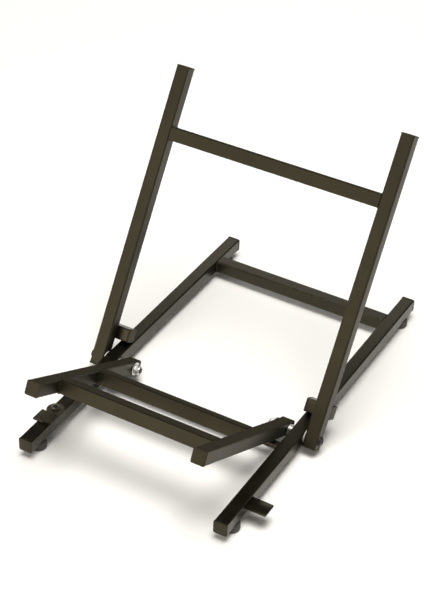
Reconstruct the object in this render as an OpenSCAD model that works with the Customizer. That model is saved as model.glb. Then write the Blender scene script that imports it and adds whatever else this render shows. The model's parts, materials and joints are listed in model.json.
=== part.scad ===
// Folding amp stand of square steel tube.
// Two floor rails carry one pivot line. The tray arms hang between the rails and rest on a
// cross rod just before the pivots; the uprights stand outside the rails and lean back on
// stops that sit on the rails. The tray folds up and back between the rails, the back folds
// forwards over them.
// Stand coordinates: X = 0 is the middle of the stand, Y = 0 the front ends of the floor
// rails, Z = 0 the floor. placed() moves all of it so that the origin is under the middle
// of the bounding box.

/* [Tube] */
// Width across the flats of every square tube
tube = 20; // [18:0.5:23]
// Wall of the square tubes
wall = 1.5; // [1:0.1:2]
// Outer corner radius of the square tubes
corner = 2.2; // [2.1:0.1:3]

/* [Base] */
// Length of a floor rail over its end caps
rail_len = 585; // [560:1:640]
// Distance between the centre lines of the floor rails
rail_pitch = 307; // [290:1:330]
// Distance from the rails' front ends to the centre of the rear cross tube
cross_tube_y = 521; // [518:0.5:528]
// Distance from the rails' front ends to the pivot line
pivot_y = 224; // [221:0.5:228]
// Diameter of the cross rod that the tray arms rest on
rest_rod_d = 12; // [10:0.5:14]
// Depth of the rest rod's centre below the pivot line
rest_rod_drop = 1; // [0:0.5:1.5]

/* [Feet] */
// Height of a rubber foot
foot_h = 11; // [10:0.5:16]
// Diameter of a rubber foot at the floor
foot_d = 26.4; // [23:0.1:30]
// Distance from each rail end to the centre of its foot
foot_inset = 30; // [28:0.5:36]
// Diameter of the foot screws
foot_screw_d = 4; // [3:0.5:5]

/* [Tray] */
// Angle of the tray arms above the floor in use
tray_angle = 27.2; // [25:0.1:29]
// Distance from the pivot line to the front ends of the tray arms
arm_reach = 268; // [255:1:278]
// Length of a tray arm behind the pivot line
arm_tail = 16; // [14:0.5:20]
// Space between the inner face of a rail and the outer face of its tray arm
arm_side_gap = 7; // [6:0.5:16]
// Distance from the arms' front ends to the front face of the front bar
front_bar_setback = 54.7; // [40:0.1:80]
// Size of the front bar along the arms, the other bars are of the common tube
front_bar_depth = 25; // [20:0.5:30]
// Distance from the pivot line to the centre of the tray's rear bar
rear_bar_reach = 97.5; // [85:0.5:110]
// Length of a rubber buffer under a tray arm
buffer_len = 26; // [20:1:30]
// Thickness of a rubber buffer
buffer_h = 2; // [1:0.5:3]

/* [Back] */
// Angle of the uprights behind the vertical in use
back_lean = 31.7; // [29:0.1:34]
// Distance from the pivot line to the tops of the uprights
upright_reach = 437; // [400:1:460]
// Length of an upright below the pivot line
upright_tail = 14; // [12:0.5:17]
// Distance from the pivot line to the centre of the bar that joins the uprights
back_bar_reach = 340; // [315:1:360]
// Length of a back stop that overhangs the top of its rail
stop_overhang = 19; // [12:0.5:20]

/* [End caps] */
// Thickness of an end cap's head
cap_t = 3; // [2:0.1:4]
// Overhang of an end cap's head past the tube's faces
cap_lip = 0.4; // [0:0.1:0.6]
// Length of an end cap's plug inside the tube
plug_len = 14; // [8:0.5:15]

/* [Pivots] */
// Diameter of the pivot bolts
pivot_d = 8; // [6:0.5:10]
// Diameter of a pivot bolt's round head
pivot_head_d = 14; // [12:0.5:16]
// Height of a pivot bolt's round head
pivot_head_h = 3.8; // [3:0.1:4.5]
// Width across the flats of a pivot nut
pivot_nut_w = 13; // [12:0.5:16]
// Height of a pivot nut
pivot_nut_h = 8; // [6:0.5:9]
// Diameter of the pivot washers
washer_d = 20; // [17:0.5:24]
// Thickness of the steel washer under a pivot nut
washer_t = 1.5; // [1:0.1:2]
// Thickness of the nylon washer between a rail and its upright
glide_t = 1.2; // [0.8:0.1:2]
// Diameter of the spacer between a rail and a tray arm
spacer_d = 16; // [14:0.5:18]
// Radial clearance of a shaft that runs in a hole
run_fit = 0.08; // [0.02:0.01:0.1]
// Gap between faces of pieces that move past each other
face_gap = 0.3; // [0.2:0.05:0.4]

/* [Rest tab] */
// Distance that the rest tab stands out of the right rail
tab_out = 31.3; // [24:0.1:36]
// Width of the rest tab along the rail
tab_w = 24; // [18:0.5:30]
// Thickness of the rest tab
tab_t = 3; // [2:0.1:4]
// Depth of the tab's upper face below the top of the rail
tab_drop = 4; // [3:0.5:10]
// Distance from the rails' front ends to the middle of the rest tab
tab_y = 59.5; // [50:0.5:80]

/* [Latch] */
// Distance from the rails' front ends to the latch bolt
latch_y = 75; // [72:0.5:80]
// Distance from the latch bolt to the front edge of the latch plate's side tab
latch_len = 32.5; // [28:0.5:36]
// Distance that the side tab overhangs the outer side of the rail
latch_overhang = 6.2; // [4:0.1:8]
// Length of the side tab along the rail
latch_tab_len = 23.5; // [20:0.5:26]
// Radius of the latch plate's round end on the bolt
latch_round_r = 13; // [11:0.5:13.5]
// Thickness of the latch plate
latch_t = 2.5; // [1.5:0.1:3]
// Diameter of the latch bolt
latch_bolt_d = 6; // [5:0.5:8]
// Diameter of the grip at the front of the latch plate
grip_d = 23; // [21:0.2:24]
// Height of the grip
grip_h = 2.5; // [2:0.5:5]
// Distance from the latch bolt to the middle of the grip
grip_reach = 19; // [18:0.5:22]
// Distance of the grip's middle from the rail's centre line, towards the stand's middle
grip_shift = 1.6; // [0.6:0.1:2]
// Diameter of the knurled nut on the latch bolt
nut_d = 11; // [10.6:0.2:14]
// Height of the knurled nut
nut_h = 5; // [4:0.5:8]
// Height of the latch bolt above the knurled nut
latch_bolt_above = 1.5; // [0.5:0.5:3]

/* [Hidden] */
$fn = 48;

half_tube = tube/2;
inside = tube - 2*wall;

// places along X, measured from the middle of the stand
rail_x = rail_pitch/2;
rail_outer_x = rail_x + half_tube;
rail_inner_x = rail_x - half_tube;
arm_outer_x = rail_inner_x - arm_side_gap;
arm_x = arm_outer_x - half_tube;
arm_inner_x = arm_x - half_tube;
upright_inner_x = rail_outer_x + glide_t + face_gap;
upright_x = upright_inner_x + half_tube;
upright_outer_x = upright_x + half_tube;
bolt_head_x = upright_outer_x + face_gap;
bolt_outer_x = bolt_head_x + pivot_head_h;
nut_washer_x = arm_inner_x - face_gap - washer_t;
nut_x = nut_washer_x - pivot_nut_h;
bolt_end_x = nut_x - 1;

// heights
rail_z = foot_h + half_tube;
rail_top = foot_h + tube;

// the tray's front bar sits in the plane of the arms
front_bar_reach = arm_reach - front_bar_setback - front_bar_depth/2;

// the rest rod touches the buffers under the arms: its place in the tray's frame, along the
// arms and below them, and from there its distance in front of the pivot line
rest_depth = half_tube + buffer_h + face_gap + rest_rod_d/2;
rest_reach = (rest_depth*cos(tray_angle) - rest_rod_drop)/sin(tray_angle);
rest_rod_back = rest_reach*cos(tray_angle) + rest_depth*sin(tray_angle);

// a back stop lies on the rear face of its upright; its rounded lower corner comes to rest
// on the rail's top when the upright leans back by back_lean
stop_reach = (half_tube + face_gap + corner + (1.5*tube - corner)*sin(back_lean))
             /cos(back_lean) - corner;
stop_inner_x = rail_outer_x - stop_overhang;

// bounding box of the whole stand in use
x_left = bolt_outer_x;
x_right = max(rail_outer_x + tab_out, bolt_outer_x);
y_front = arm_reach*cos(tray_angle) + (half_tube + cap_lip)*sin(tray_angle) - pivot_y;
to_origin = [(x_left - x_right)/2, (y_front - rail_len)/2, 0];

echo(origin_shift = to_origin, pivot_z = rail_z, rest_rod_y = pivot_y - rest_rod_back);

// ---- frames ----

// stand coordinates to the part's own origin
module placed() {
    translate(to_origin) children();
}

// frame of the tray: origin on the pivot line, arms along -Y, resting faces up
module in_tray() {
    placed() translate([0, pivot_y, rail_z]) rotate([-tray_angle, 0, 0]) children();
}

// frame of the back: origin on the pivot line, uprights along +Z, rear faces towards +Y
module in_back() {
    placed() translate([0, pivot_y, rail_z]) rotate([-back_lean, 0, 0]) children();
}

// ---- shapes that repeat ----

// outline w by h with round corners, its middle on the origin
module round_rect(w, h, r) {
    square([w, h - 2*r], center = true);
    square([w - 2*r, h], center = true);
    for (x = [-1, 1], y = [-1, 1])
        translate([x*(w/2 - r), y*(h/2 - r)]) circle(r);
}

// tube along Z from z0 to z1, square unless it is given a width
module tube_z(z0, z1, w = tube) {
    translate([0, 0, z0]) linear_extrude(z1 - z0) difference() {
        round_rect(w, tube, corner);
        square([w - 2*wall, inside], center = true);
    }
}

// the same tube along X, its width along Y, and a square tube along Y
module tube_x(x0, x1, w = tube) {
    rotate([90, 0, 90]) tube_z(x0, x1, w);
}

module tube_y(y0, y1) {
    rotate([-90, 0, 0]) tube_z(y0, y1);
}

// end cap on a tube that ends at Z = 0 and reaches down from there
module end_cap(plug = plug_len) {
    linear_extrude(cap_t) round_rect(tube + 2*cap_lip, tube + 2*cap_lip, corner);
    translate([0, 0, -plug]) linear_extrude(plug)
        square(inside - 2*run_fit, center = true);
}

// length of a plug that ends before the pivot bolt, in a tube with this tail
function tail_plug(tail) = min(plug_len, tail - cap_t - pivot_d/2 - 3*face_gap);

// hole or shaft along X through [x, 0, 0]
module rod_x(x0, x1, d) {
    translate([x0, 0, 0]) rotate([0, 90, 0]) cylinder(h = x1 - x0, d = d);
}

// ---- base ----

// floor rail with its pivot hole, foot screw holes and, on the left, the latch bolt's holes
module rail(side) {
    color("dimgray") placed() difference() {
        translate([side*rail_x, 0, rail_z]) tube_y(cap_t, rail_len - cap_t);
        translate([side*rail_x, pivot_y, rail_z])
            rod_x(-tube, tube, pivot_d + 2*run_fit);
        for (y = [foot_inset, rail_len - foot_inset])
            translate([side*rail_x, y, foot_h - wall])
                cylinder(h = 3*wall, d = foot_screw_d + 2*run_fit);
        if (side < 0)
            translate([-rail_x, latch_y, foot_h - wall])
                cylinder(h = tube + 2*wall, d = latch_bolt_d + 2*run_fit);
    }
}

// cross tube welded between the rails near their rear ends
module rear_cross_tube() {
    color("dimgray") placed() translate([0, cross_tube_y, rail_z])
        tube_x(-rail_inner_x, rail_inner_x);
}

// round bar welded between the rails, which carries the tray arms in use
module rest_rod() {
    color("dimgray") placed() translate([0, pivot_y - rest_rod_back, rail_z - rest_rod_drop])
        rod_x(-rail_inner_x, rail_inner_x, rest_rod_d);
}

// end cap of a rail: end is -1 at the front and 1 at the rear
module rail_cap(side, end) {
    color("black") placed()
        translate([side*rail_x, end < 0 ? cap_t : rail_len - cap_t, rail_z])
            rotate([-90*end, 0, 0]) end_cap();
}

// rubber foot with a recess for its screw
module foot(side, end) {
    recess_d = 2.5*foot_screw_d;
    recess_h = foot_h/2;
    color("black") placed() translate([side*rail_x, foot_centre_y(end), 0])
        rotate_extrude() polygon([[recess_d/2, 0], [foot_d/2 - 1.5, 0], [foot_d/2, 1.5],
                                  [foot_d/2 - 0.5, foot_h], [foot_screw_d/2 + run_fit, foot_h],
                                  [foot_screw_d/2 + run_fit, recess_h],
                                  [recess_d/2, recess_h]]);
}

function foot_centre_y(end) = end < 0 ? foot_inset : rail_len - foot_inset;

// pan-head screws that hold the feet to the rails
module foot_screws() {
    head_d = 2*foot_screw_d;
    head_h = 0.6*foot_screw_d;
    color("silver") placed() for (side = [-1, 1], end = [-1, 1])
        translate([side*rail_x, foot_centre_y(end), foot_h/2 - head_h]) {
            cylinder(h = head_h, d = head_d);
            cylinder(h = head_h + foot_h/2 + wall + foot_screw_d, d = foot_screw_d);
        }
}

// pivot bolt: round head outside the upright, end inside the tray arm
module pivot_bolt(side) {
    color("silver") placed() translate([0, pivot_y, rail_z]) mirror([side < 0 ? 1 : 0, 0, 0]) {
        rod_x(bolt_end_x, bolt_head_x + 1, pivot_d);
        rod_x(bolt_head_x, bolt_outer_x - 1, pivot_head_d);
        translate([bolt_outer_x - 1, 0, 0]) rotate([0, 90, 0])
            cylinder(h = 1, d1 = pivot_head_d, d2 = pivot_head_d - 3);
    }
}

// hexagon lock nut on the inner end of a pivot bolt
module pivot_nut(side) {
    color("silver") placed() translate([side*nut_x, pivot_y, rail_z])
        rotate([0, 90*side, 0]) difference() {
            cylinder(h = pivot_nut_h, d = pivot_nut_w/cos(30), $fn = 6);
            translate([0, 0, -1]) cylinder(h = pivot_nut_h + 2, d = pivot_d + run_fit);
        }
}

// ring along X between x0 and x1 on the pivot line
module pivot_ring(x0, x1, d) {
    difference() {
        rod_x(x0, x1, d);
        rod_x(x0 - 1, x1 + 1, pivot_d + 2*run_fit);
    }
}

// spacers that hold the tray arms off the inner faces of the rails
module pivot_spacers() {
    color("silver") placed() translate([0, pivot_y, rail_z]) for (side = [0, 1])
        mirror([side, 0, 0]) pivot_ring(arm_outer_x + face_gap, rail_inner_x, spacer_d);
}

// steel washers between the tray arms and the nuts
module pivot_washers() {
    color("silver") placed() translate([0, pivot_y, rail_z]) for (side = [0, 1])
        mirror([side, 0, 0]) pivot_ring(nut_washer_x, nut_washer_x + washer_t, washer_d);
}

// nylon washers between the rails and the uprights
module pivot_glides() {
    color("white") placed() translate([0, pivot_y, rail_z]) for (side = [0, 1])
        mirror([side, 0, 0]) pivot_ring(rail_outer_x, rail_outer_x + glide_t, washer_d);
}

// flat tab welded to the outer side of the right rail
module rest_tab() {
    r = 1.5;
    color("dimgray") placed()
        translate([rail_outer_x, tab_y - tab_w/2, rail_top - tab_drop - tab_t])
            linear_extrude(tab_t) {
                square([tab_out - r, tab_w]);
                translate([0, r]) square([tab_out, tab_w - 2*r]);
                for (y = [r, tab_w - r]) translate([tab_out - r, y]) circle(r);
            }
}

// round-head bolt up through the left rail, the latch plate and the knurled nut
module latch_bolt() {
    head_h = 3;
    top = rail_top + latch_t + nut_h + 2*face_gap + latch_bolt_above;
    color("silver") placed() translate([-rail_x, latch_y, 0]) {
        translate([0, 0, foot_h - head_h]) cylinder(h = head_h, d = 2.2*latch_bolt_d);
        translate([0, 0, foot_h - 1]) cylinder(h = top - foot_h + 1, d = latch_bolt_d);
    }
}

// swivel plate on top of the left rail: a round end on the bolt, a round end under the grip
// and a side tab that overhangs the rail
module latch_plate() {
    color("dimgray") placed() translate([-rail_x, latch_y, rail_top + face_gap])
        linear_extrude(latch_t) difference() {
            union() {
                circle(latch_round_r);
                translate([-half_tube, -grip_reach]) square([tube - 1, grip_reach]);
                translate([grip_shift, -grip_reach]) circle(d = grip_d);
                translate([-half_tube - latch_overhang, -latch_len])
                    square([half_tube + latch_overhang, latch_tab_len]);
            }
            circle(latch_bolt_d/2 + run_fit);
        }
}

// flat round grip bonded on the front of the latch plate
module latch_grip() {
    color("black") placed()
        translate([grip_shift - rail_x, latch_y - grip_reach, rail_top + face_gap + latch_t]) {
            cylinder(h = grip_h - 1, d = grip_d);
            translate([0, 0, grip_h - 1]) cylinder(h = 1, d1 = grip_d, d2 = grip_d - 2);
        }
}

// knurled nut on the latch bolt
module latch_nut() {
    grooves = 20;
    groove_d = 1;
    color("black") placed()
        translate([-rail_x, latch_y, rail_top + latch_t + 2*face_gap]) difference() {
            union() {
                cylinder(h = nut_h - 0.6, d = nut_d);
                translate([0, 0, nut_h - 0.6]) cylinder(h = 0.6, d1 = nut_d, d2 = nut_d - 1.2);
            }
            translate([0, 0, -1]) cylinder(h = nut_h + 2, d = latch_bolt_d + run_fit);
            for (i = [0 : grooves - 1]) rotate(i*360/grooves)
                translate([nut_d/2 + groove_d/4, 0, -1]) cylinder(h = nut_h + 2, d = groove_d);
        }
}

// ---- tray ----

// tray arm with its pivot hole
module arm(side) {
    color("dimgray") in_tray() difference() {
        translate([side*arm_x, 0, 0]) tube_y(cap_t - arm_reach, arm_tail - cap_t);
        translate([side*arm_x, 0, 0]) rod_x(-tube, tube, pivot_d + 2*run_fit);
    }
}

// bar welded between the arms, its centre this far from the pivot line
module tray_bar(reach, depth) {
    color("dimgray") in_tray() translate([0, -reach, 0])
        tube_x(-arm_inner_x, arm_inner_x, depth);
}

// end cap of a tray arm: end is -1 at the front and 1 behind the pivot
module arm_cap(side, end) {
    color("black") in_tray()
        translate([side*arm_x, end < 0 ? cap_t - arm_reach : arm_tail - cap_t, 0])
            rotate([-90*end, 0, 0]) end_cap(end < 0 ? plug_len : tail_plug(arm_tail));
}

// rubber buffer under an arm, where it comes down on the rest rod
module arm_buffer(side) {
    color("black") in_tray()
        translate([side*arm_x, -rest_reach, -half_tube - buffer_h/2])
            cube([tube - 2*corner, buffer_len, buffer_h], center = true);
}

// ---- back ----

// upright with its pivot hole
module upright(side) {
    color("dimgray") in_back() difference() {
        translate([side*upright_x, 0, 0]) tube_z(cap_t - upright_tail, upright_reach - cap_t);
        translate([side*upright_x, 0, 0]) rod_x(-tube, tube, pivot_d + 2*run_fit);
    }
}

// bar welded between the uprights
module back_bar() {
    color("dimgray") in_back() translate([0, 0, back_bar_reach])
        tube_x(-upright_inner_x, upright_inner_x);
}

// end cap of an upright: end is 1 at the top and -1 at the bottom
module upright_cap(side, end) {
    color("black") in_back()
        translate([side*upright_x, 0, end > 0 ? upright_reach - cap_t : cap_t - upright_tail])
            rotate([end > 0 ? 0 : 180, 0, 0])
                end_cap(end > 0 ? plug_len : tail_plug(upright_tail));
}

// frame of a stop's tube: on the rear face of its upright, reaching inwards over the rail
module in_stop(side) {
    in_back() mirror([side < 0 ? 1 : 0, 0, 0])
        translate([0, tube, stop_reach + half_tube]) children();
}

module back_stop(side) {
    color("dimgray") in_stop(side) tube_x(stop_inner_x + cap_t, upright_outer_x - cap_t);
}

// end caps of both back stops
module stop_caps() {
    color("black") for (side = [-1, 1]) in_stop(side) {
        translate([upright_outer_x - cap_t, 0, 0]) rotate([0, 90, 0]) stop_cap();
        translate([stop_inner_x + cap_t, 0, 0]) rotate([0, -90, 0]) stop_cap();
    }
}

// a stop's cap is flush with its tube, so that the stop bears on the rail along its length
module stop_cap() {
    linear_extrude(cap_t) round_rect(tube, tube, corner);
    translate([0, 0, -plug_len/2]) linear_extrude(plug_len/2)
        square(inside - 2*run_fit, center = true);
}

// ---- the stand ----

rail(-1);  // rail_left
rail(1);  // rail_right
rest_rod();
rear_cross_tube();
rail_cap(-1, -1);  // rail_cap_front_left
rail_cap(1, -1);  // rail_cap_front_right
rail_cap(-1, 1);  // rail_cap_rear_left
rail_cap(1, 1);  // rail_cap_rear_right
foot(-1, -1);  // foot_front_left
foot(1, -1);  // foot_front_right
foot(-1, 1);  // foot_rear_left
foot(1, 1);  // foot_rear_right
foot_screws();
pivot_bolt(-1);  // pivot_bolt_left
pivot_bolt(1);  // pivot_bolt_right
pivot_nut(-1);  // pivot_nut_left
pivot_nut(1);  // pivot_nut_right
pivot_spacers();
pivot_washers();
pivot_glides();
rest_tab();
latch_bolt();
latch_plate();
latch_grip();
latch_nut();
arm(-1);  // arm_left
arm(1);  // arm_right
tray_bar(front_bar_reach, front_bar_depth);  // tray_front_bar
tray_bar(rear_bar_reach, tube);  // tray_rear_bar
arm_cap(-1, -1);  // arm_cap_front_left
arm_cap(1, -1);  // arm_cap_front_right
arm_cap(-1, 1);  // arm_cap_rear_left
arm_cap(1, 1);  // arm_cap_rear_right
arm_buffer(-1);  // arm_buffer_left
arm_buffer(1);  // arm_buffer_right
upright(-1);  // upright_left
upright(1);  // upright_right
back_bar();
upright_cap(-1, 1);  // upright_cap_top_left
upright_cap(1, 1);  // upright_cap_top_right
upright_cap(-1, -1);  // upright_cap_bottom_left
upright_cap(1, -1);  // upright_cap_bottom_right
back_stop(-1);  // back_stop_left
back_stop(1);  // back_stop_right
stop_caps();
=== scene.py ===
"""Folding stand of black powder-coated square tube, set up for use on a pale studio floor."""

import json
import math

import bmesh
import bpy
from mathutils import Matrix, Vector


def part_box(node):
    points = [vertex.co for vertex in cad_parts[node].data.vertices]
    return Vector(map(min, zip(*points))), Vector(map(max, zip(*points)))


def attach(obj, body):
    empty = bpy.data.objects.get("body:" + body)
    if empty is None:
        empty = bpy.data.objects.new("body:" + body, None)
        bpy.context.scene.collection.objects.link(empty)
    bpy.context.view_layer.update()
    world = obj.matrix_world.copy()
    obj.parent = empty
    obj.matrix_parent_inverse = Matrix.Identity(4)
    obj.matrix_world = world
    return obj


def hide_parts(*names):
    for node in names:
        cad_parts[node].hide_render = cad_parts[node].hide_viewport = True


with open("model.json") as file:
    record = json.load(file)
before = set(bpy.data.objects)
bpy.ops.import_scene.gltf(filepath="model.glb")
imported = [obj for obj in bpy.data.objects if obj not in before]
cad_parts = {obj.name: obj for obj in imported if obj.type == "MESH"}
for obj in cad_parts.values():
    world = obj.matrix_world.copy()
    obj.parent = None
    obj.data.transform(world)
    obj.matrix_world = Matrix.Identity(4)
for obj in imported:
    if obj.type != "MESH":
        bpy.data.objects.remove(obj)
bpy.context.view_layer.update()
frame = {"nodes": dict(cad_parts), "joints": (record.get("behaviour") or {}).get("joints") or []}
bpy.ops.object.select_all(action="DESELECT")
nodes = frame["nodes"]
MM = 0.001


# ---- Camera ----
# A long lens a good two metres away, to the right of the stand's front and above it,
# tipped a little. The lens shift keeps the upright frame on the stand.

camera_azimuth, camera_elevation, camera_roll = map(math.radians, (29.50, 37.55, 1.70))
camera_target = Vector((-0.0164, -0.0829, 0.131))
camera_distance = 2.2852
image_height, focal_pixels = 600, 1658.4
film_width, lens_shift = 36, (0.0381, 0.0672)

look = Vector((
    -math.sin(camera_azimuth) * math.cos(camera_elevation),
    math.cos(camera_azimuth) * math.cos(camera_elevation),
    -math.sin(camera_elevation),
))
level = Vector((math.cos(camera_azimuth), math.sin(camera_azimuth), 0))
upward = level.cross(look)
right = level * math.cos(camera_roll) + upward * math.sin(camera_roll)
upward = upward * math.cos(camera_roll) - level * math.sin(camera_roll)
bpy.ops.object.camera_add()
camera = bpy.context.object
camera.name = "camera"
camera.matrix_world = (
    Matrix.Translation(camera_target - look * camera_distance)
    @ Matrix((right, upward, -look)).transposed().to_4x4()
)
camera.data.sensor_fit = "AUTO"
camera.data.sensor_width = film_width
camera.data.lens = film_width * focal_pixels / image_height
camera.data.shift_x, camera.data.shift_y = lens_shift
camera.data.clip_start, camera.data.clip_end = 0.05, 60
bpy.context.scene.camera = camera
bpy.context.scene.view_settings.view_transform = "Standard"


# ---- Studio ----
# A pale seamless paper floor under four soft boxes: a high one overhead, long low ones in
# front and at the right, and a small one behind. The room is dim and darkest overhead, so
# that the tops of the black tubes stay deep while their sides mirror the paper.

floor_size, floor_shift, floor_drop = 14, 1.5, 0.2 * MM
paper_lit, paper_seen = (0.86, 0.856, 0.847, 1), (0.985, 0.98, 0.972, 1)
horizon, horizon_tone = 0.05, (0.36, 0.355, 0.346, 1)
dark_from, dark_tone = 0.36, (0.03, 0.029, 0.028, 1)


def add_node(tree, kind, values=None, operation=None):
    """A new shader node in a tree, with values for some of its inputs."""
    node = tree.nodes.new("ShaderNode" + kind)
    if operation:
        node.operation = operation
    for socket, value in (values or {}).items():
        node.inputs[socket].default_value = value
    return node


bpy.ops.mesh.primitive_plane_add(size=floor_size, location=(0, floor_shift, -floor_drop))
floor = bpy.context.object
floor.name = "floor"
paper = bpy.data.materials.new("floor_paper")
paper.use_nodes = True
paper_tree = paper.node_tree
paper_shader = paper_tree.nodes["Principled BSDF"]
paper_shader.inputs["Roughness"].default_value = 0.9
paper_shader.inputs["Specular IOR Level"].default_value = 0.2
floor.data.materials.append(paper)

# to the camera, and in gloss and glass, the paper is a little whiter than as a light source
sight = add_node(paper_tree, "LightPath")
in_gloss = add_node(paper_tree, "Math", operation="MAXIMUM")
in_any = add_node(paper_tree, "Math", operation="MAXIMUM")
paper_tone = add_node(paper_tree, "ValToRGB")
paper_tone.color_ramp.elements[0].color = paper_lit
paper_tone.color_ramp.elements[1].color = paper_seen
paper_tree.links.new(sight.outputs["Is Glossy Ray"], in_gloss.inputs[0])
paper_tree.links.new(sight.outputs["Is Transmission Ray"], in_gloss.inputs[1])
paper_tree.links.new(sight.outputs["Is Camera Ray"], in_any.inputs[0])
paper_tree.links.new(in_gloss.outputs[0], in_any.inputs[1])
paper_tree.links.new(in_any.outputs[0], paper_tone.inputs["Fac"])
paper_tree.links.new(paper_tone.outputs["Color"], paper_shader.inputs["Base Color"])

room = bpy.data.worlds.new("room")
bpy.context.scene.world = room
room.use_nodes = True
room_tree = room.node_tree
direction = add_node(room_tree, "TexCoord")
height = add_node(room_tree, "SeparateXYZ")
fall = add_node(room_tree, "ValToRGB")
fall.color_ramp.interpolation = "EASE"
fall.color_ramp.elements[0].position = horizon
fall.color_ramp.elements[0].color = horizon_tone
fall.color_ramp.elements[1].position = dark_from
fall.color_ramp.elements[1].color = dark_tone
room_tree.links.new(direction.outputs["Generated"], height.inputs["Vector"])
room_tree.links.new(height.outputs["Z"], fall.inputs["Fac"])
room_tree.links.new(fall.outputs["Color"], room_tree.nodes["Background"].inputs["Color"])

for lamp_name, place, aim, width, tall, power, tint in (
    ("overhead_box", (0.3, -0.3, 4.4), (0, 0, 0), 2.8, 2.8, 219, (1, 0.975, 0.93)),
    ("front_box", (-1.3, -3.0, 1.35), (0, 0, 0.1), 3.0, 2.2, 47, (1, 0.955, 0.88)),
    ("side_box", (2.7, 0.2, 0.5), (0, 0, 0.1), 2.6, 0.8, 20, (1, 0.955, 0.88)),
    ("rear_box", (-0.9, 2.2, 1.1), (0, 0, 0.1), 1.8, 1.1, 7.5, (1, 0.97, 0.9)),
):
    bpy.ops.object.light_add(type="AREA", location=place)
    lamp = bpy.context.object
    lamp.name = lamp_name
    lamp.data.shape = "RECTANGLE"
    lamp.data.size, lamp.data.size_y = width, tall
    lamp.data.energy = power
    lamp.data.color = tint
    lamp.rotation_euler = (Vector(aim) - Vector(place)).to_track_quat("-Z", "Y").to_euler()


# ---- Frame tubes ----
# Square steel tube, cut, drilled and welded, then powder coated in satin black. The coat has
# a fine orange peel, hands and dust leave it uneven, and what stands on the tray rubs it and
# the back matt, most of all on their upper faces.

coat_color, coat_dust = (0.003, 0.0026, 0.0018), (0.05, 0.046, 0.038)
coat_tint = (1, 0.87, 0.55)
specks_per_metre, speck_range, patch_range = 420, (0.52, 0.78), (0.35, 0.70)
upper_range, rubbed_roughness = (0.70, 0.85), 1.0


def new_group(name, inputs, outputs):
    """An empty shader node group with named sockets."""
    group = bpy.data.node_groups.new(name, "ShaderNodeTree")
    for socket, kind, value in inputs:
        item = group.interface.new_socket(socket, in_out="INPUT", socket_type=kind)
        item.default_value = value
    for socket, kind in outputs:
        group.interface.new_socket(socket, in_out="OUTPUT", socket_type=kind)
    return group, group.nodes.new("NodeGroupInput"), group.nodes.new("NodeGroupOutput")


# fine bumps of a sprayed or moulded skin: Size is the width of a bump, Depth its height
skin, skin_in, skin_out = new_group(
    "fine_skin",
    (("Size", "NodeSocketFloat", 0.001), ("Depth", "NodeSocketFloat", 0.00002)),
    (("Normal", "NodeSocketVector"),),
)
skin_place = add_node(skin, "TexCoord")
skin_scale = add_node(skin, "Math", {0: 1.0}, "DIVIDE")
skin_noise = add_node(skin, "TexNoise", {"Detail": 2.0})
skin_bump = add_node(skin, "Bump", {"Strength": 1.0})
skin.links.new(skin_in.outputs["Size"], skin_scale.inputs[1])
skin.links.new(skin_scale.outputs[0], skin_noise.inputs["Scale"])
skin.links.new(skin_place.outputs["Object"], skin_noise.inputs["Vector"])
skin.links.new(skin_noise.outputs["Fac"], skin_bump.inputs["Height"])
skin.links.new(skin_in.outputs["Depth"], skin_bump.inputs["Distance"])
skin.links.new(skin_bump.outputs["Normal"], skin_out.inputs["Normal"])

# uneven handling: a roughness that wanders, a colour that pales where dust has settled, and
# upper faces that are rubbed matt; Patch is the width of a patch
handling, handling_in, handling_out = new_group(
    "handling",
    (
        ("Clean", "NodeSocketColor", (0.01, 0.01, 0.01, 1)),
        ("Dusty", "NodeSocketColor", (0.05, 0.05, 0.05, 1)),
        ("Dust", "NodeSocketFloat", 0.3),
        ("Smooth", "NodeSocketFloat", 0.3),
        ("Rough", "NodeSocketFloat", 0.5),
        ("Patch", "NodeSocketFloat", 0.04),
        ("Rubbed", "NodeSocketFloat", 0.0),
    ),
    (("Color", "NodeSocketColor"), ("Roughness", "NodeSocketFloat")),
)
patch_place = add_node(handling, "TexCoord")
patch_scale = add_node(handling, "Math", {0: 1.0}, "DIVIDE")
patch_noise = add_node(handling, "TexNoise", {"Detail": 5.0, "Roughness": 0.62})
speck_noise = add_node(handling, "TexNoise", {"Scale": specks_per_metre, "Detail": 3.0})
patch_mask = add_node(
    handling, "MapRange", {"From Min": patch_range[0], "From Max": patch_range[1]}
)
speck_mask = add_node(
    handling, "MapRange", {"From Min": speck_range[0], "From Max": speck_range[1]}
)
upper_mask = add_node(
    handling, "MapRange", {"From Min": upper_range[0], "From Max": upper_range[1]}
)
facing_up = add_node(handling, "SeparateXYZ")
rough_mix = add_node(handling, "MapRange")
rubbed_part = add_node(handling, "Math", operation="MULTIPLY")
rubbed_mix = add_node(handling, "MapRange", {"To Max": rubbed_roughness})
dust_both = add_node(handling, "Math", operation="MULTIPLY")
dust_part = add_node(handling, "Math", operation="MULTIPLY")
color_mix = add_node(handling, "Mix")
color_mix.data_type = "RGBA"
mix_fac, mix_a, mix_b = (
    next(s for s in color_mix.inputs if s.name == n and s.enabled) for n in ("Factor", "A", "B")
)
mix_out = next(s for s in color_mix.outputs if s.enabled)
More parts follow.
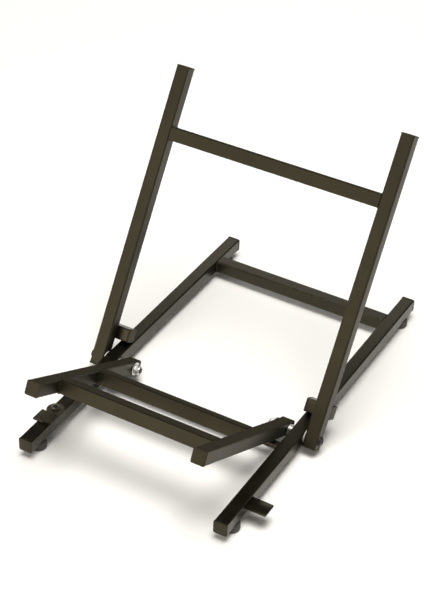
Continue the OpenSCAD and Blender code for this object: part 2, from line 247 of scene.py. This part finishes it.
for source, target in (
    (handling_in.outputs["Patch"], patch_scale.inputs[1]),
    (patch_scale.outputs[0], patch_noise.inputs["Scale"]),
    (patch_place.outputs["Object"], patch_noise.inputs["Vector"]),
    (patch_place.outputs["Object"], speck_noise.inputs["Vector"]),
    (patch_noise.outputs["Fac"], patch_mask.inputs["Value"]),
    (speck_noise.outputs["Fac"], speck_mask.inputs["Value"]),
    (patch_mask.outputs["Result"], rough_mix.inputs["Value"]),
    (handling_in.outputs["Smooth"], rough_mix.inputs["To Min"]),
    (handling_in.outputs["Rough"], rough_mix.inputs["To Max"]),
    (patch_mask.outputs["Result"], dust_both.inputs[0]),
    (speck_mask.outputs["Result"], dust_both.inputs[1]),
    (dust_both.outputs[0], dust_part.inputs[0]),
    (handling_in.outputs["Dust"], dust_part.inputs[1]),
    (dust_part.outputs[0], mix_fac),
    (handling_in.outputs["Clean"], mix_a),
    (handling_in.outputs["Dusty"], mix_b),
    (mix_out, handling_out.inputs["Color"]),
    (patch_place.outputs["Normal"], facing_up.inputs["Vector"]),
    (facing_up.outputs["Z"], upper_mask.inputs["Value"]),
    (upper_mask.outputs["Result"], rubbed_part.inputs[0]),
    (handling_in.outputs["Rubbed"], rubbed_part.inputs[1]),
    (rubbed_part.outputs[0], rubbed_mix.inputs["Value"]),
    (rough_mix.outputs["Result"], rubbed_mix.inputs["To Min"]),
    (rubbed_mix.outputs["Result"], handling_out.inputs["Roughness"]),
):
    handling.links.new(source, target)


def new_finish(name, clean, dusty, dust, smooth, rough, patch, bump, depth,
               metallic=0.0, specular=0.5, tint=(1, 1, 1), rubbed=0.0):
    """A finish with its fine skin and its uneven handling; patch, bump and depth are sizes."""
    finish = bpy.data.materials.new(name)
    finish.use_nodes = True
    tree = finish.node_tree
    shader = tree.nodes["Principled BSDF"]
    shader.inputs["Metallic"].default_value = metallic
    shader.inputs["Specular IOR Level"].default_value = specular
    shader.inputs["Specular Tint"].default_value = (*tint, 1)
    bumps, uneven = add_node(tree, "Group"), add_node(tree, "Group")
    bumps.node_tree, uneven.node_tree = skin, handling
    bumps.inputs["Size"].default_value = bump
    bumps.inputs["Depth"].default_value = depth
    uneven.inputs["Clean"].default_value = (*clean, 1)
    uneven.inputs["Dusty"].default_value = (*dusty, 1)
    uneven.inputs["Dust"].default_value = dust
    uneven.inputs["Smooth"].default_value = smooth
    uneven.inputs["Rough"].default_value = rough
    uneven.inputs["Patch"].default_value = patch
    uneven.inputs["Rubbed"].default_value = rubbed
    tree.links.new(bumps.outputs["Normal"], shader.inputs["Normal"])
    tree.links.new(uneven.outputs["Color"], shader.inputs["Base Color"])
    tree.links.new(uneven.outputs["Roughness"], shader.inputs["Roughness"])
    return finish


def put_on(finish, piece):
    """Gives a piece its one finish."""
    piece.data.materials.clear()
    piece.data.materials.append(finish)


powder_coat = new_finish(
    "black_powder_coat", clean=coat_color, dusty=coat_dust, dust=0.20, smooth=0.24, rough=0.34,
    patch=60 * MM, bump=1.6 * MM, depth=0.04 * MM, tint=coat_tint,
)
tray_coat = new_finish(
    "rubbed_powder_coat", clean=coat_color, dusty=coat_dust, dust=0.30, smooth=0.40, rough=0.50,
    patch=60 * MM, bump=1.6 * MM, depth=0.04 * MM, tint=coat_tint, rubbed=1.0,
)
for name in (
    "rail_left", "rail_right", "rest_rod", "rear_cross_tube", "back_stop_left", "back_stop_right",
):
    put_on(powder_coat, nodes[name])
for name in (
    "arm_left", "arm_right", "tray_front_bar", "tray_rear_bar",
    "upright_left", "upright_right", "back_bar",
):
    put_on(tray_coat, nodes[name])


# ---- Weld beads ----
# The bars are welded to the tubes that they meet along three sides, with the side that
# carries the load left flush, and the round rod all round. Each bead is a small rippled
# fillet under the powder coat.

tube, tube_corner, front_bar_width = 20 * MM, 2.2 * MM, 25 * MM
rod, rod_corner = 12 * MM, 5.9 * MM
bead_radius, bead_pitch, longest_corner_edge = 1.25 * MM, 1.1 * MM, 4 * MM
ripple, ripple_drift = (0.84, 1.04), 0.07
merge_gap = 0.001 * MM

tray_rise, back_lean = math.radians(27.2), math.radians(31.7)
sideways = Vector((1, 0, 0))
lengthways = Vector((0, 1, 0))
up = Vector((0, 0, 1))
tray_out = Vector((0, -math.cos(tray_rise), math.sin(tray_rise)))
tray_up = Vector((0, math.sin(tray_rise), math.cos(tray_rise)))
back_up = Vector((0, math.sin(back_lean), math.cos(back_lean)))
back_front = Vector((0, -math.cos(back_lean), math.sin(back_lean)))
both_sides = (("left", -sideways), ("right", sideways))


def pick(kind, test):
    """Selects the edges or faces of the piece in edit mode that pass the test."""
    bpy.ops.mesh.select_mode(type={"edges": "EDGE", "faces": "FACE"}[kind])
    bpy.ops.mesh.select_all(action="DESELECT")
    mesh = bmesh.from_edit_mesh(bpy.context.object.data)
    for part in getattr(mesh, kind):
        part.select_set(bool(test(part)))
    bmesh.update_edit_mesh(bpy.context.object.data)


def far_face(node, out, across):
    """Middle of the face of a CAD node that lies furthest along out."""
    spans = []
    for axis in (across, out.cross(across), out):
        along = [v.co.dot(axis) for v in nodes[node].data.vertices]
        spans.append((axis, min(along), max(along)))
    (a, a0, a1), (b, b0, b1), (c, _, c1) = spans
    return a * (a0 + a1) / 2 + b * (b0 + b1) / 2 + c * c1


def facing(out, across, origin):
    """Place of a piece whose own +Z points along out and whose +X points along across."""
    turn = Matrix((across, out.cross(across), out)).transposed()
    return Matrix.Translation(origin) @ turn.to_4x4()


def weld(name, place, width, height, corner, body, all_round=False):
    """Bead round an outline; its own +Y side stays open unless it goes all round."""
    bpy.ops.object.select_all(action="DESELECT")
    bpy.ops.mesh.primitive_plane_add(size=1)
    bead = bpy.context.object
    bpy.ops.object.mode_set(mode="EDIT")
    bpy.ops.transform.resize(value=(width, height, 1))
    bpy.ops.mesh.bevel(offset=corner, segments=1 + int(corner / MM), affect="VERTICES")
    bpy.ops.mesh.delete(type="ONLY_FACE")
    if not all_round:
        open_from = height / 2 - corner * 0.9
        pick("edges", lambda edge: sum(v.co.y for v in edge.verts) / 2 > open_from)
        bpy.ops.mesh.delete(type="EDGE")
    pick("edges", lambda edge: edge.calc_length() > longest_corner_edge)
    bpy.ops.mesh.subdivide(number_cuts=int(max(width, height) / bead_pitch))
    bpy.ops.object.mode_set(mode="OBJECT")
    bpy.ops.object.convert(target="CURVE")
    bead.data.bevel_depth = bead_radius
    bead.data.bevel_resolution = 3
    bead.data.use_fill_caps = True
    for spline in bead.data.splines:
        for i, point in enumerate(spline.points):
            point.radius = ripple[i % 2] + ripple_drift * math.sin(i * 2.3)
    bpy.ops.object.convert(target="MESH")
    bpy.ops.object.mode_set(mode="EDIT")
    bpy.ops.mesh.select_mode(type="VERT")
    bpy.ops.mesh.select_all(action="SELECT")
    bpy.ops.mesh.remove_doubles(threshold=merge_gap)
    bpy.ops.mesh.normals_make_consistent(inside=False)
    bpy.ops.object.mode_set(mode="OBJECT")
    bead.data.transform(place)
    bead.name = bead.data.name = name
    put_on(powder_coat, bead)
    bpy.ops.object.shade_smooth_by_angle(angle=math.radians(50))
    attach(bead, body)


for node, body, open_side, width in (
    ("rear_cross_tube", "base", up, tube),
    ("tray_front_bar", "tray", tray_up, front_bar_width),
    ("tray_rear_bar", "tray", tray_up, tube),
    ("back_bar", "back", back_front, tube),
):
    for side, out in both_sides:
        across = open_side.cross(out)
        place = facing(out, across, far_face(node, out, across))
        weld(f"weld_{node}_{side}", place, width, tube, tube_corner, body)
for side, out in both_sides:
    across = up.cross(out)
    place = facing(out, across, far_face("rest_rod", out, across))
    weld(f"weld_rest_rod_{side}", place, rod, rod, rod_corner, "base", all_round=True)


# ---- End caps ----
# Black plastic plugs close every tube end. The moulded head is a little wider than the
# tube, with soft edges, a faint crown and a thin groove where it meets the tube; the plug
# behind it is driven into the tube.

head_width, head_height, head_corner, head_edge = 20.8 * MM, 3 * MM, 2.6 * MM, 0.7 * MM
crown, groove = 0.35 * MM, 0.45 * MM
plug_width, plug_length = 16.8 * MM, 5 * MM
cap_plastic = new_finish(
    "cap_plastic", clean=(0.0125, 0.0102, 0.0062), dusty=(0.06, 0.055, 0.045), dust=0.25,
    smooth=0.50, rough=0.62, patch=30 * MM, bump=0.7 * MM, depth=0.03 * MM,
    specular=0.45, tint=coat_tint, rubbed=1.0,
)

bpy.ops.object.select_all(action="DESELECT")
bpy.ops.mesh.primitive_cube_add(size=1, location=(0, 0, 0))
cap_master = bpy.context.object
bpy.ops.object.mode_set(mode="EDIT")
bpy.ops.transform.resize(value=(head_width, head_width, head_height - crown))
bpy.ops.transform.translate(value=(0, 0, (head_height - crown) / 2))
pick("edges", lambda edge: abs(edge.verts[0].co.z - edge.verts[1].co.z) > head_height / 2)
bpy.ops.mesh.bevel(offset=head_corner, segments=5, affect="EDGES")
pick("edges", lambda edge: min(v.co.z for v in edge.verts) > head_height / 2)
bpy.ops.mesh.bevel(offset=head_edge, segments=3, affect="EDGES")
pick("faces", lambda face: face.normal.z > 0.9 and face.calc_area() > head_width ** 2 / 4)
# the crown rises in two steps towards the middle of the head
for shrink, rise in ((0.70, 0.6), (0.45, 0.4)):
    bpy.ops.mesh.extrude_region_move(TRANSFORM_OT_translate={"value": (0, 0, crown * rise)})
    bpy.ops.transform.resize(value=(shrink, shrink, 1))
pick("edges", lambda edge: max(v.co.z for v in edge.verts) < merge_gap)
bpy.ops.mesh.bevel(offset=groove, segments=2, affect="EDGES")
pick("faces", lambda face: face.normal.z < -0.9)
shrink = plug_width / (head_width - 2 * groove)
bpy.ops.mesh.extrude_region_move(TRANSFORM_OT_translate={"value": (0, 0, 0)})
bpy.ops.transform.resize(value=(shrink, shrink, 1))
bpy.ops.mesh.extrude_region_move(TRANSFORM_OT_translate={"value": (0, 0, -plug_length)})
bpy.ops.object.mode_set(mode="OBJECT")
bpy.ops.object.shade_smooth_by_angle(angle=math.radians(35))


def copy_to(master, name, place, finish):
    """A copy of a modelled piece with its own mesh, set in its place."""
    piece = master.copy()
    piece.data = master.data.copy()
    piece.name = piece.data.name = name
    bpy.context.scene.collection.objects.link(piece)
    piece.data.transform(place)
    put_on(finish, piece)
    return piece


for end, body, out in (
    ("rail_cap_front", "base", -lengthways),
    ("rail_cap_rear", "base", lengthways),
    ("arm_cap_front", "tray", tray_out),
    ("arm_cap_rear", "tray", -tray_out),
    ("upright_cap_top", "back", back_up),
    ("upright_cap_bottom", "back", -back_up),
):
    for node in (end + "_left", end + "_right"):
        place = facing(out, sideways, far_face(node, out, sideways) - out * head_height)
        cap = copy_to(cap_master, node + "_head", place, cap_plastic)
        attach(cap, body)
        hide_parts(node)


def join(pieces, name):
    """Joins several solids of one node into one piece."""
    bpy.ops.object.select_all(action="DESELECT")
    for piece in pieces:
        piece.select_set(True)
    bpy.context.view_layer.objects.active = pieces[0]
    bpy.ops.object.join()
    pieces[0].name = pieces[0].data.name = name
    return pieces[0]


# the caps of the back stops are flush with their tubes
flush = Matrix.Diagonal((tube / head_width, tube / head_width, 1, 1))
stop_heads = []
for node in ("back_stop_left", "back_stop_right"):
    for out in (-sideways, sideways):
        place = facing(out, back_up, far_face(node, out, back_up)) @ flush
        stop_heads.append(copy_to(cap_master, "stop_head", place, cap_plastic))
stop_heads = join(stop_heads, "stop_cap_heads")
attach(stop_heads, "back")
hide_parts("stop_caps")
bpy.data.objects.remove(cap_master)


# ---- Rubber feet ----
# Moulded black rubber, nearly straight sided with rounded shoulders, bored for a screw
# whose head sits in a recess underneath.

foot_names = ("foot_front_left", "foot_front_right", "foot_rear_left", "foot_rear_right")
rubber = new_finish(
    "black_rubber", clean=(0.042, 0.040, 0.035), dusty=(0.10, 0.095, 0.082), dust=0.45,
    smooth=0.55, rough=0.72, patch=20 * MM, bump=0.9 * MM, depth=0.04 * MM,
)


def turned(name, profile, sides=48, closed=False):
    """A turned piece: a ring at the profile's first point, drawn out through the others.

    Points are radius and height in millimetres. A closed profile comes back to its first
    point, and the ends of an open one are filled.
    """
    points = [(radius * MM, height * MM) for radius, height in profile]
    bpy.ops.object.select_all(action="DESELECT")
    radius, level = points[0]
    bpy.ops.mesh.primitive_circle_add(vertices=sides, radius=radius, location=(0, 0, 0))
    piece = bpy.context.object
    piece.name = name
    bpy.ops.object.mode_set(mode="EDIT")
    bpy.ops.mesh.select_mode(type="VERT")
    bpy.ops.mesh.select_all(action="SELECT")
    bpy.ops.transform.translate(value=(0, 0, level))
    if not closed:
        bpy.ops.mesh.edge_face_add()
    for next_radius, next_level in points[1:] + (points[:1] if closed else []):
        bpy.ops.mesh.extrude_region_move(
            TRANSFORM_OT_translate={"value": (0, 0, next_level - level)}
        )
        scale = next_radius / radius
        bpy.ops.transform.resize(value=(scale, scale, 1), center_override=(0, 0, next_level))
        radius, level = next_radius, next_level
    bpy.ops.mesh.select_all(action="SELECT")
    bpy.ops.mesh.remove_doubles(threshold=merge_gap)
    bpy.ops.mesh.normals_make_consistent(inside=False)
    bpy.ops.object.mode_set(mode="OBJECT")
    bpy.ops.object.shade_smooth_by_angle(angle=math.radians(38))
    return piece


def underside(node):
    """Place on the middle of the underside of a CAD node's box."""
    low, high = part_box(node)
    return Matrix.Translation(((low.x + high.x) / 2, (low.y + high.y) / 2, low.z))


foot_master = turned("foot", [
    (5.0, 5.5), (5.0, 0.5), (5.4, 0), (11.6, 0), (12.5, 0.35), (13.05, 1.1), (13.2, 2.0),
    (13.0, 8.2), (12.8, 9.6), (12.1, 10.5), (10.8, 11), (2.1, 11), (2.1, 5.5),
], closed=True)
for node in foot_names:
    foot = copy_to(foot_master, node + "_rubber", underside(node), rubber)
    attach(foot, "base")
    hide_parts(node)
bpy.data.objects.remove(foot_master)


# ---- Foot screws ----
# Zinc-plated pan-head screws with a cross recess, driven up through the feet into the
# rails. Their heads sit well inside the rubber.

slot_width, slot_length, slot_height, slot_middle = 1.0 * MM, 4.6 * MM, 1.8 * MM, 3.4 * MM
zinc = new_finish(
    "zinc_plate", clean=(0.60, 0.60, 0.58), dusty=(0.42, 0.40, 0.36), dust=0.6,
    smooth=0.28, rough=0.46, patch=6 * MM, bump=0.4 * MM, depth=0.01 * MM, metallic=1.0,
)


def cut(piece, tool, operation="DIFFERENCE"):
    """Cuts a tool's shape out of a piece and drops the tool."""
    bpy.ops.object.select_all(action="DESELECT")
    bpy.context.view_layer.objects.active = piece
    piece.select_set(True)
    modifier = piece.modifiers.new("cut", "BOOLEAN")
    modifier.operation, modifier.object, modifier.solver = operation, tool, "EXACT"
    bpy.ops.object.modifier_apply(modifier=modifier.name)
    bpy.data.objects.remove(tool)


def thread(radius, depth, start, half_pitch, count):
    """Points of a thread for a profile: crests and roots by turns, from start upwards."""
    return [(radius - depth * (i % 2), start + half_pitch * i) for i in range(count)]


screw_master = turned("screw", [
    (3.0, 3.1), (3.6, 3.3), (4.0, 4.0), (4.0, 5.5), (2.0, 5.5),
    *thread(2.0, 0.3, 11.4, 0.4, 10), (1.2, 16.4),
], sides=24)
for size in ((slot_width, slot_length, slot_height), (slot_length, slot_width, slot_height)):
    bpy.ops.mesh.primitive_cube_add(size=1, location=(0, 0, slot_middle))
    recess = bpy.context.object
    recess.scale = size
    bpy.context.view_layer.update()
    cut(screw_master, recess)
screws = [copy_to(screw_master, "foot_screw", underside(node), zinc) for node in foot_names]
screws = join(screws, "foot_screw_set")
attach(screws, "base")
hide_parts("foot_screws")
bpy.data.objects.remove(screw_master)


# ---- Pivot bolts ----
# Black-oxide button heads with a hexagon socket outside the uprights. The plain shank runs
# through upright, rail, spacer and arm, and ends in a thread inside the lock nut.

button_height, socket_radius, socket_depth = 3.8, 2.9 * MM, 2.5 * MM
black_oxide = new_finish(
    "black_oxide", clean=(0.034, 0.033, 0.031), dusty=(0.09, 0.085, 0.075), dust=0.35,
    smooth=0.28, rough=0.44, patch=5 * MM, bump=0.5 * MM, depth=0.01 * MM, metallic=0.85,
)

pivot = Vector(frame["joints"][0]["pos_m"])
bolt_low, bolt_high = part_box("pivot_bolt_right")
tip = (bolt_low.x - pivot.x) / MM
crest = (bolt_high.x - pivot.x) / MM
button = crest - button_height
bolt_master = turned("pivot_bolt", [
    (3.4, tip), *thread(4.0, 0.45, tip + 0.56, 0.62, 22), (4.0, tip + 14.4),
    (4.0, button), (6.6, button), (7.0, button + 0.3), (7.0, button + 0.9),
    (6.6, button + 1.9), (5.7, button + 2.9), (4.5, button + 3.55), (3.4, crest),
])
bpy.ops.mesh.primitive_cylinder_add(
    vertices=6, radius=socket_radius, depth=2 * socket_depth, location=(0, 0, crest * MM)
)
cut(bolt_master, bpy.context.object)
for side, out in both_sides:
    place = facing(out, up, pivot)
    bolt = copy_to(bolt_master, f"pivot_bolt_{side}_button", place, black_oxide)
    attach(bolt, "base")
    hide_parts(f"pivot_bolt_{side}")
bpy.data.objects.remove(bolt_master)


# ---- Lock nuts ----
# Zinc-plated hexagon nuts with chamfered corners and a crimped collar that holds a nylon
# ring, tightened against the washers on the inner sides of the arms.

nut_flats, nut_height = 13 * MM, 6.4 * MM
nylon = new_finish(
    "natural_nylon", clean=(0.72, 0.71, 0.66), dusty=(0.5, 0.48, 0.42), dust=0.4,
    smooth=0.42, rough=0.58, patch=8 * MM, bump=0.6 * MM, depth=0.01 * MM,
)

bpy.ops.object.select_all(action="DESELECT")
bpy.ops.mesh.primitive_cylinder_add(
    vertices=6, radius=nut_flats / 2 / math.cos(math.pi / 6), depth=nut_height,
    location=(0, 0, nut_height / 2),
)
nut_master = bpy.context.object
bpy.ops.object.transform_apply(location=True, rotation=False, scale=False)
chamfer = turned("nut_chamfer", [(6.2, 0), (7.7, 1.0), (7.7, 5.4), (6.2, 6.4)])
cut(nut_master, chamfer, "INTERSECT")
collar = turned("nut_collar", [
    (4.3, 6.3), (5.9, 6.3), (5.9, 7.3), (5.5, 7.9), (4.9, 8.0), (4.9, 6.9), (4.3, 6.9),
], closed=True)
bore = turned("nut_bore", [(4.05, -1), (4.05, 8)])
cut(nut_master, bore)
nut_master = join([nut_master, collar], "nut")
ring_master = turned("nut_ring", [
    (4.02, 6.5), (4.88, 6.5), (4.88, 7.8), (4.02, 7.5),
], closed=True)
for side, out in both_sides:
    node = f"pivot_nut_{side}"
    place = facing(-out, lengthways, far_face(node, out, up))
    nut = copy_to(nut_master, node + "_hexagon", place, zinc)
    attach(nut, "base")
    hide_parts(node)
    ring = copy_to(ring_master, node + "_ring", place, nylon)
    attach(ring, "base")
bpy.data.objects.remove(nut_master)
bpy.data.objects.remove(ring_master)


# ---- Spacers and washers ----
# Zinc-plated spacers hold the arms off the rails and zinc washers sit under the nuts;
# nylon washers let the uprights glide on the rails.


def rings(node, name, profile, finish):
    """Turned rings in place of a node that holds one on each side of the stand."""
    master = turned(name, profile, closed=True)
    low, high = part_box(node)
    pair = []
    for out, face in ((-sideways, low.x), (sideways, high.x)):
        place = facing(-out, up, Vector((face, pivot.y, pivot.z)))
        pair.append(copy_to(master, name, place, finish))
    bpy.data.objects.remove(master)
    pair = join(pair, name)
    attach(pair, "base")
    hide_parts(node)


rings("pivot_spacers", "spacer_sleeves", [
    (4.3, 0), (7.6, 0), (8.0, 0.4), (8.0, 6.3), (7.6, 6.7), (4.3, 6.7),
], zinc)
rings("pivot_washers", "nut_washers", [
    (4.3, 0), (9.8, 0), (10.0, 0.3), (10.0, 1.3), (9.7, 1.5), (4.3, 1.5),
], zinc)
rings("pivot_glides", "glide_washers", [
    (4.3, 0), (9.8, 0), (10.0, 0.2), (10.0, 1.0), (9.8, 1.2), (4.3, 1.2),
], nylon)


# ---- Rest tab ----
# A flat steel tab with rounded corners, welded to the outer side of the right rail and
# coated with it.

tab_width, tab_thickness, tab_weld_corner = 24 * MM, 3 * MM, 0.4 * MM
tab_rounding = 0.5 * MM


def softened(node, name, width, segments=2):
    """A copy of a CAD node's shape with its edges rounded by width."""
    piece = nodes[node].copy()
    piece.data = nodes[node].data.copy()
    piece.parent = None
    for key in list(piece.keys()):
        del piece[key]
    piece.name = piece.data.name = name
    bpy.context.scene.collection.objects.link(piece)
    bpy.ops.object.select_all(action="DESELECT")
    bpy.context.view_layer.objects.active = piece
    piece.select_set(True)
    bpy.ops.object.mode_set(mode="EDIT")
    bpy.ops.mesh.select_all(action="SELECT")
    bpy.ops.mesh.remove_doubles(threshold=2 * merge_gap)
    bpy.ops.mesh.dissolve_limited(angle_limit=math.radians(1))
    bpy.ops.mesh.normals_make_consistent(inside=False)
    bpy.ops.object.mode_set(mode="OBJECT")
    rounding = piece.modifiers.new("rounding", "BEVEL")
    rounding.width, rounding.segments = width, segments
    rounding.limit_method, rounding.angle_limit = "ANGLE", math.radians(40)
    bpy.ops.object.modifier_apply(modifier=rounding.name)
    bpy.ops.object.shade_smooth_by_angle(angle=math.radians(40))
    return piece


tab = softened("rest_tab", "rest_tab_plate", tab_rounding)
put_on(powder_coat, tab)
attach(tab, "base")
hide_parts("rest_tab")
place = facing(sideways, lengthways, far_face("rest_tab", -sideways, lengthways))
weld("weld_rest_tab", place, tab_width, tab_thickness, tab_weld_corner, "base")


# ---- Latch ----
# A steel plate, coated in a paler black, swivels on a bolt through the left rail. A flat
# moulded grip is bonded on its front, and a knurled nut holds it on the bolt.

plate_rounding = 0.45 * MM
knurls, knurl_radius, knurl_circle, knurl_length = 20, 0.5 * MM, 5.75 * MM, 14 * MM
plate_coat = new_finish(
    "plate_coat", clean=(0.026, 0.022, 0.014), dusty=(0.07, 0.064, 0.05), dust=0.4,
    smooth=0.36, rough=0.52, patch=20 * MM, bump=1.2 * MM, depth=0.03 * MM, tint=coat_tint,
)
grip_plastic = new_finish(
    "grip_plastic", clean=(0.012, 0.011, 0.0075), dusty=(0.07, 0.065, 0.055), dust=0.3,
    smooth=0.50, rough=0.62, patch=12 * MM, bump=0.6 * MM, depth=0.02 * MM,
    specular=0.4, tint=coat_tint,
)
worn_oxide = new_finish(
    "worn_black_oxide", clean=(0.28, 0.27, 0.24), dusty=(0.12, 0.115, 0.10), dust=0.35,
    smooth=0.24, rough=0.38, patch=5 * MM, bump=0.5 * MM, depth=0.01 * MM, metallic=0.9,
)


def stand_on(node, piece, name, finish):
    """A copy of a turned piece, upright on the middle of its CAD node's box; drops the piece."""
    placed = copy_to(piece, name, underside(node), finish)
    bpy.data.objects.remove(piece)
    return placed


latch = softened("latch_plate", "latch_swivel_plate", plate_rounding)
put_on(plate_coat, latch)
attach(latch, "latch_plate")
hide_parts("latch_plate")

grip = turned("grip_disc", [
    (11.1, 0), (11.5, 0.3), (11.5, 1.5), (11.25, 2.05), (10.7, 2.4), (10.0, 2.5), (9.2, 2.5),
    (8.4, 2.3), (4.0, 2.15), (1.0, 2.1),
], sides=72)
grip = stand_on("latch_grip", grip, "latch_grip_disc", grip_plastic)
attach(grip, "latch_plate")
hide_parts("latch_grip")

nut = turned("knurled_nut", [
    (3.05, 0), (4.9, 0), (5.5, 0.5), (5.5, 4.4), (4.9, 5.0), (4.1, 5.0), (3.5, 4.6), (3.05, 4.2),
], sides=80, closed=True)
cutters = []
for i in range(knurls):
    angle = 2 * math.pi * i / knurls
    bpy.ops.mesh.primitive_cylinder_add(
        vertices=12, radius=knurl_radius, depth=knurl_length,
        location=(math.cos(angle) * knurl_circle, math.sin(angle) * knurl_circle, 0),
    )
    bpy.ops.object.transform_apply(location=True)
    cutters.append(bpy.context.object)
cut(nut, join(cutters, "grooves"))
bpy.ops.object.shade_smooth_by_angle(angle=math.radians(30))
nut = stand_on("latch_nut", nut, "latch_nut_knurled", worn_oxide)
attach(nut, "latch_nut")
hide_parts("latch_nut")

bolt_low, bolt_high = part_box("latch_bolt")
top = (bolt_high.z - bolt_low.z) / MM
stud = turned("latch_stud", [
    (2.0, 0), (4.6, 0.5), (6.1, 1.5), (6.6, 2.6), (6.6, 3.0), (3.0, 3.0),
    *thread(3.0, 0.35, top - 9.5, 0.5, 18), (2.2, top),
], sides=32)
stud = stand_on("latch_bolt", stud, "latch_bolt_stud", black_oxide)
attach(stud, "base")
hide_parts("latch_bolt")


# ---- Arm buffers ----
# Rubber blocks with softened edges, bonded under the arms where the tray comes down on the
# rest rod.

buffer_rounding = 0.8 * MM

for node in ("arm_buffer_left", "arm_buffer_right"):
    buffer = softened(node, node + "_rubber", buffer_rounding, segments=3)
    put_on(rubber, buffer)
    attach(buffer, "tray")
    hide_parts(node)
